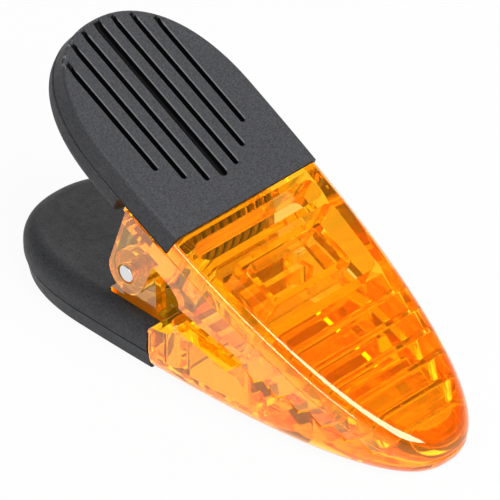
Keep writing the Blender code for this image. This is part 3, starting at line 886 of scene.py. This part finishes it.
def grain_group():
    """Shader group: a grain of a given size, as a value from low to high and as a height."""
    found = bpy.data.node_groups.get("fine_grain")
    if found:
        return found
    group = bpy.data.node_groups.new("fine_grain", "ShaderNodeTree")
    sockets = group.interface
    for name, default in (("Scale", 2500.0), ("Low", 0.0), ("High", 1.0)):
        sockets.new_socket(name, in_out="INPUT", socket_type="NodeSocketFloat").default_value = default
    for name in ("Value", "Height"):
        sockets.new_socket(name, in_out="OUTPUT", socket_type="NodeSocketFloat")
    entry = node(group, "NodeGroupInput", (-600, 0))
    leave = node(group, "NodeGroupOutput", (400, 0))
    place = node(group, "ShaderNodeTexCoord", (-600, -200))
    noise = node(group, "ShaderNodeTexNoise", (-350, 0), Detail=3.0, Roughness=0.6)
    spread = node(group, "ShaderNodeMapRange", (100, 0), From_Min=0.3, From_Max=0.7)
    link(place, "Object", noise, "Vector")
    link(entry, "Scale", noise, "Scale")
    link(noise, 0, spread, "Value")
    link(entry, "Low", spread, "To Min")
    link(entry, "High", spread, "To Max")
    link(spread, "Result", leave, "Value")
    link(noise, 0, leave, "Height")
    return group


def grain(tree, place, scale, low, high):
    """A placed copy of the grain group."""
    made = tree.nodes.new("ShaderNodeGroup")
    made.node_tree = grain_group()
    made.location = place
    fill(made, Scale=scale, Low=low, High=high)
    return made


def bare_material(name):
    """A new material and its shader."""
    material = bpy.data.materials.new(name)
    material.use_nodes = True
    return material, material.node_tree, material.node_tree.nodes["Principled BSDF"]


def clear_orange(finish):
    """Clear orange plastic: glossy, refracting, deeper in colour where it is thick, and with a painted glow
    that stands in for light scattered inside it.
    """
    material, tree, shader = bare_material("clear_orange_plastic")
    fill(shader, Base_Color=opaque(finish.orange), Metallic=0.0, Transmission_Weight=1.0)
    fill(shader, IOR=finish.refraction, Specular_Tint=opaque(finish.sheen), Coat_Weight=finish.gloss)
    # Painted glow: emission that brightens the plastic's darker places, standing in for light scattered
    # inside it
    fill(shader, Emission_Color=opaque(finish.painted_glow_colour), Emission_Strength=finish.painted_glow_strength)
    polish = grain(tree, (-400, 0), *POLISH_GRAIN)
    link(polish, "Value", shader, "Roughness")
    tint = node(tree, "ShaderNodeVolumeAbsorption", (0, -400), Color=opaque(finish.absorption),
                Density=finish.density)
    link(tint, "Volume", tree.nodes["Material Output"], "Volume")
    return material


def soft_black(finish):
    """Black soft-touch plastic with a fine spark-eroded grain."""
    material, tree, shader = bare_material("soft_black_rubber")
    grit = grain(tree, (-700, 0), 1.0 / finish.grip_grain, 0.0, 1.0)
    tone = node(tree, "ShaderNodeMix", (-300, 100))
    tone.data_type = "RGBA"
    tone.inputs[MIX_FIRST].default_value = opaque(finish.black)
    tone.inputs[MIX_SECOND].default_value = opaque(finish.worn_black)
    link(grit, "Value", tone, 0)
    link(tone, MIX_RESULT, shader, "Base Color")
    touch = grain(tree, (-700, -250), *TOUCH_GRAIN)
    link(touch, "Value", shader, "Roughness")
    relief = node(tree, "ShaderNodeBump", (-300, -300), Strength=GRIP_RELIEF,
                  Distance=GRIP_RELIEF_HEIGHT)
    link(grit, "Height", relief, "Height")
    link(relief, "Normal", shader, "Normal")
    fill(shader, Specular_IOR_Level=RUBBER_SHINE)
    return material


def plain_rubber(name, tone, shine):
    """Matt rubber of one tone: painted shade for the grooves and painted highlight for their lips."""
    material, tree, shader = bare_material(name)
    fill(shader, Base_Color=opaque(tone), Specular_IOR_Level=shine)
    touch = grain(tree, (-400, 0), *MATT_GRAIN)
    link(touch, "Value", shader, "Roughness")
    return material


def bright_steel(name, tone, roughness):
    """Steel whose roughness varies in a fine grain."""
    material, tree, shader = bare_material(name)
    fill(shader, Base_Color=opaque(tone), Metallic=1.0)
    low = roughness * (1 - STEEL_SPREAD)
    high = roughness * (1 + STEEL_SPREAD)
    touch = grain(tree, (-400, 0), STEEL_SCALE, low, high)
    link(touch, "Value", shader, "Roughness")
    return material


# Operators


class CLAMP_OT_jaws(Operator):
    """Make both clear jaws"""

    bl_idname = "clamp.jaws"
    bl_label = "Make Jaws"

    def execute(self, context):
        clamp = context.scene.clamp
        material = clear_orange(clamp.finish)
        upper = make_upper_jaw(clamp.lever, clamp.jaw)
        seat(upper, "upper_jaw", "upper_lever", "upper_jaw_plastic", upper_place(clamp.lever), material)
        lower = make_lower_jaw(clamp.lever, clamp.jaw)
        seat(lower, "lower_jaw", "lower_lever", "lower_jaw_plastic", lower_place(), material)
        return {"FINISHED"}


class CLAMP_OT_grips(Operator):
    """Make both soft black grips"""

    bl_idname = "clamp.grips"
    bl_label = "Make Grips"

    def execute(self, context):
        clamp = context.scene.clamp
        lever = clamp.lever
        material = soft_black(clamp.finish)
        # Painted shade for the grooves' walls and floors
        groove_shade = plain_rubber("groove_painted_shade", clamp.finish.groove_painted_shade, GROOVE_SHINE)
        # Painted highlight for the grooves' lips
        lit_lip = plain_rubber("lip_painted_highlight", clamp.finish.lip_painted_highlight, RUBBER_SHINE)
        tones = (material, groove_shade, lit_lip)
        notch = clamp.jaw.lower_ear_face + lever.clearance
        upper = make_grip(lever, clamp.jaw, clamp.grip, "soft_upper_grip", lever.width)
        lower = make_grip(lever, clamp.jaw, clamp.grip, "soft_lower_grip", notch)
        for grip in (upper, lower):
            grip.data.materials.clear()
            paint_groove_shade_and_highlight(lever, clamp.grip, grip)
        seat(upper, "upper_grip", "upper_lever", "upper_grip_rubber", upper_place(lever), *tones)
        seat(lower, "lower_grip", "lower_lever", "lower_grip_rubber", lower_place(), *tones)
        return {"FINISHED"}


class CLAMP_OT_pin(Operator):
    """Make the pivot pin"""

    bl_idname = "clamp.pin"
    bl_label = "Make Pin"

    def execute(self, context):
        clamp = context.scene.clamp
        pin = make_pin(clamp.spring)
        steel = bright_steel("pin_steel", clamp.finish.steel, PIN_ROUGHNESS)
        seat(pin, "pivot_pin", "upper_lever", "pin_steel", lower_place(), steel)
        return {"FINISHED"}


class CLAMP_OT_spring(Operator):
    """Make the torsion spring, wound between the levers"""

    bl_idname = "clamp.spring"
    bl_label = "Make Spring"

    def execute(self, context):
        clamp = context.scene.clamp
        sizes = clamp.spring
        spring = make_spring(clamp.lever, clamp.jaw, sizes)
        spring.data.transform(lower_place())
        steel = bright_steel("spring_steel", clamp.finish.wire_steel, WIRE_ROUGHNESS)
        spring.data.materials.append(steel)
        spring.data.shade_smooth()
        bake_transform(spring)
        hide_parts("torsion_spring")
        return {"FINISHED"}


# World, floor, lights and camera


def joined(tree, operation, first, second, place):
    """A Math node's value for two sockets, or for a socket and a number."""
    made = node(tree, "ShaderNodeMath", place)
    made.operation = operation
    for index, value in enumerate((first, second)):
        if isinstance(value, float):
            made.inputs[index].default_value = value
        else:
            tree.links.new(value, made.inputs[index])
    return made.outputs[0]


def choose(tree, share, first, second, output):
    """Send two nodes' shaders to an output, mixed by a share of the second."""
    choice = node(tree, "ShaderNodeMixShader", (200, 100))
    for index, socket in enumerate((share, first.outputs[0], second.outputs[0])):
        tree.links.new(socket, choice.inputs[index])
    tree.links.new(choice.outputs[0], tree.nodes[output].inputs["Surface"])


def make_world(stage):
    """Soft light from all round, and a white backdrop for the camera.

    What is mirrored or shows through the plastic is a sweep from the horizon to a dim ceiling.
    """
    world = bpy.data.worlds.new("studio")
    bpy.context.scene.world = world
    world.use_nodes = True
    tree = world.node_tree
    lit = tree.nodes["Background"]
    shown = node(tree, "ShaderNodeBackground", (0, -150))
    for background in (lit, shown):
        fill(background, Color=WHITE)
    fill(lit, Strength=stage.ambient)
    path = node(tree, "ShaderNodeLightPath", (-1000, 300)).outputs
    clear = joined(tree, "MAXIMUM", path["Is Camera Ray"], path["Is Transmission Ray"], (-700, 300))
    seen = joined(tree, "MAXIMUM", clear, path["Is Glossy Ray"], (-500, 300))
    place = node(tree, "ShaderNodeTexCoord", (-1000, -200))
    split = node(tree, "ShaderNodeSeparateXYZ", (-800, -200))
    sweep = node(tree, "ShaderNodeMapRange", (-600, -200), From_Min=SWEEP_START, From_Max=SWEEP_END,
                 To_Min=stage.horizon, To_Max=stage.ceiling)
    link(place, "Generated", split, 0)
    link(split, "Z", sweep, "Value")
    white = joined(tree, "MAXIMUM", path["Is Camera Ray"], sweep.outputs["Result"], (-300, -150))
    tree.links.new(white, shown.inputs["Strength"])
    choose(tree, seen, lit, shown, "World Output")


def make_floor(stage):
    """A white floor that keeps a faint shadow of the clamp."""
    mesh = bpy.data.meshes.new("floor")
    plan = rectangle(-FLOOR_HALF, FLOOR_HALF, FLOOR_HALF)
    corners = [(along, across, -FLOOR_DROP) for along, across in plan]
    mesh.from_pydata(corners, [], [(0, 1, 2, 3)])
    floor = placed("floor", mesh)
    material, tree, shader = bare_material("white_floor")
    fill(shader, Base_Color=FLOOR_TONE, Roughness=FLOOR_ROUGHNESS, Specular_IOR_Level=0.0)
    glow = node(tree, "ShaderNodeEmission", (0, -300))
    path = node(tree, "ShaderNodeLightPath", (-900, 300)).outputs
    looked_at = joined(tree, "MULTIPLY", path["Is Camera Ray"], 1.0 - stage.floor_shadow, (-600, 300))
    mirrored = joined(tree, "MAXIMUM", path["Is Glossy Ray"], path["Is Transmission Ray"], (-600, 100))
    share = joined(tree, "MAXIMUM", looked_at, mirrored, (-300, 200))
    choose(tree, share, shader, glow, "Material Output")
    mesh.materials.append(material)


def make_light(name, place, aim, size, power):
    """A soft box that faces a point."""
    lamp = bpy.data.lights.new(name, "AREA")
    lamp.shape = "RECTANGLE"
    lamp.size, lamp.size_y = size
    lamp.energy = power
    light = placed(name, lamp)
    light.location = place
    light.rotation_euler = (aim - place).to_track_quat("-Z", "Y").to_euler()


def make_camera(stage):
    """The camera, turned round the clamp to the photograph's viewing angle."""
    level = cos(stage.elevation)
    back = Vector((sin(stage.azimuth) * level, -cos(stage.azimuth) * level, sin(stage.elevation)))
    lens = bpy.data.cameras.new("camera")
    lens.lens = stage.lens
    lens.clip_end = CLIP_END
    camera = placed("camera", lens)
    camera.location = Vector(stage.aim) + back * stage.distance
    facing = (-back).to_track_quat("-Z", "Y").to_matrix()
    camera.rotation_euler = (facing @ Matrix.Rotation(stage.roll, 3, "Z")).to_euler()
    bpy.context.scene.camera = camera


class CLAMP_OT_stage(Operator):
    """Make the world, the floor, the lights and the camera"""

    bl_idname = "clamp.stage"
    bl_label = "Make Stage"

    def execute(self, context):
        stage = context.scene.clamp.stage
        aim = Vector(stage.aim)
        make_world(stage)
        make_floor(stage)
        for name, offset, size, watts in LIGHTS:
            make_light(name, aim + Vector(offset), aim, size, watts)
        make_camera(stage)
        context.scene.view_settings.view_transform = "Standard"
        context.scene.cycles.max_bounces = CLEAR_BOUNCES
        context.scene.cycles.transmission_bounces = CLEAR_BOUNCES
        context.scene.cycles.glossy_bounces = CLEAR_BOUNCES
        return {"FINISHED"}


class CLAMP_PT_panel(Panel):
    """Buttons that make the clamp piece by piece"""

    bl_idname = "CLAMP_PT_panel"
    bl_label = "Spring Clamp"
    bl_space_type = "VIEW_3D"
    bl_region_type = "UI"
    bl_category = "Clamp"

    def draw(self, context):
        for maker in MAKERS:
            self.layout.operator(maker.bl_idname)
        for group in (context.scene.clamp.lever, context.scene.clamp.finish):
            box = self.layout.box()
            for name in group.bl_rna.properties.keys():
                if name not in ("rna_type", "name"):
                    box.prop(group, name)


MAKERS = (CLAMP_OT_jaws, CLAMP_OT_grips, CLAMP_OT_pin, CLAMP_OT_spring, CLAMP_OT_stage)
GROUPS = (LeverSizes, JawSizes, GripSizes, SpringSizes, Finishes, StageSettings, ClampSettings)
CLASSES = GROUPS + MAKERS + (CLAMP_PT_panel,)


def register():
    """Make the settings, operators and panel known."""
    for kind in CLASSES:
        bpy.utils.register_class(kind)
    bpy.types.Scene.clamp = PointerProperty(type=ClampSettings)


def unregister():
    """Take the settings, operators and panel away."""
    del bpy.types.Scene.clamp
    for kind in reversed(CLASSES):
        bpy.utils.unregister_class(kind)


def main():
    """Register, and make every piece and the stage."""
    register()
    bpy.ops.clamp.jaws()
    bpy.ops.clamp.grips()
    bpy.ops.clamp.pin()
    bpy.ops.clamp.spring()
    bpy.ops.clamp.stage()


if __name__ == "__main__":
    main()
